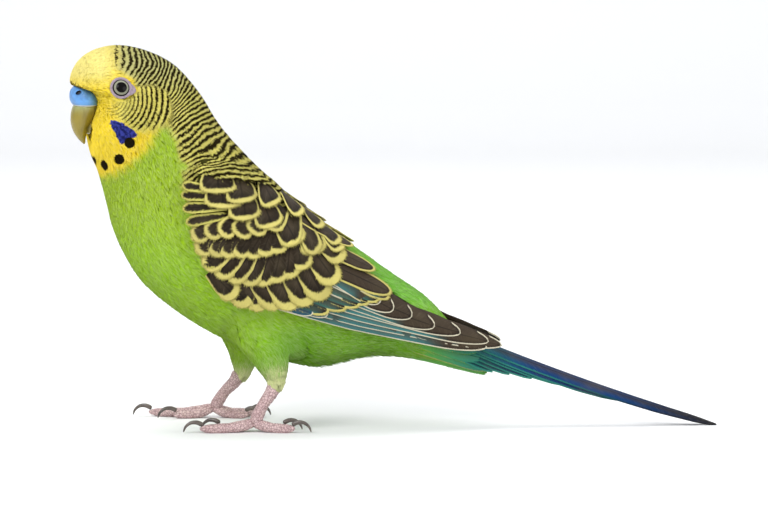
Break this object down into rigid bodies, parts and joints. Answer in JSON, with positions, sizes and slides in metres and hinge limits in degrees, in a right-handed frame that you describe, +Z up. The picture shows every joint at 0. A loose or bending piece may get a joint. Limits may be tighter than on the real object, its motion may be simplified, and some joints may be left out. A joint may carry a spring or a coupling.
{
  "type": "budgerigar",
  "caption": "Life-size still model of a standing green budgerigar with barred folded wings, a hooked bill and a long narrow tail.",
  "frame": {"origin": "on the floor under the middle of the bird's outer box", "axes": "the bird faces -X, its left side is -Y, +Z is up"},
  "size_m": [0.1678, 0.0448, 0.0993],
  "materials": {
    "plumage_face": "fine yellow face feathers, matt",
    "plumage_green": "soft yellow-green body feathers, matt",
    "plumage_barred": "yellow feathers with dark brown bars, matt",
    "wing_feathers": "dark brown vanes with pale yellow edges, slightly satin",
    "tail_feathers": "dark blue vanes, blue-green at the root, slightly satin",
    "horn": "olive horn, satin",
    "cere": "smooth blue waxy skin, satin",
    "leg_skin": "pinkish grey scaled skin, matt",
    "claw": "grey-brown horn, satin",
    "eye": "dark wet eye, polished"
  },
  "bodies": {
    "root": {"head": "plumage_face", "neck": "plumage_green", "torso": "plumage_green", "rump": "plumage_green", "tail": "tail_feathers", "cere": "cere", "bill_upper": "horn", "bill_lower": "horn", "eye_left": "eye", "wing_left": "wing_feathers", "thigh_left": "plumage_green", "shank_left": "leg_skin", "toe_1_left": "leg_skin", "claw_1_left": "claw", "toe_2_left": "leg_skin", "claw_2_left": "claw", "toe_3_left": "leg_skin", "claw_3_left": "claw", "toe_4_left": "leg_skin", "claw_4_left": "claw", "eye_right": "eye", "wing_right": "wing_feathers", "thigh_right": "plumage_green", "shank_right": "leg_skin", "toe_1_right": "leg_skin", "claw_1_right": "claw", "toe_2_right": "leg_skin", "claw_2_right": "claw", "toe_3_right": "leg_skin", "claw_3_right": "claw", "toe_4_right": "leg_skin", "claw_4_right": "claw"}
  },
  "joints": []
}
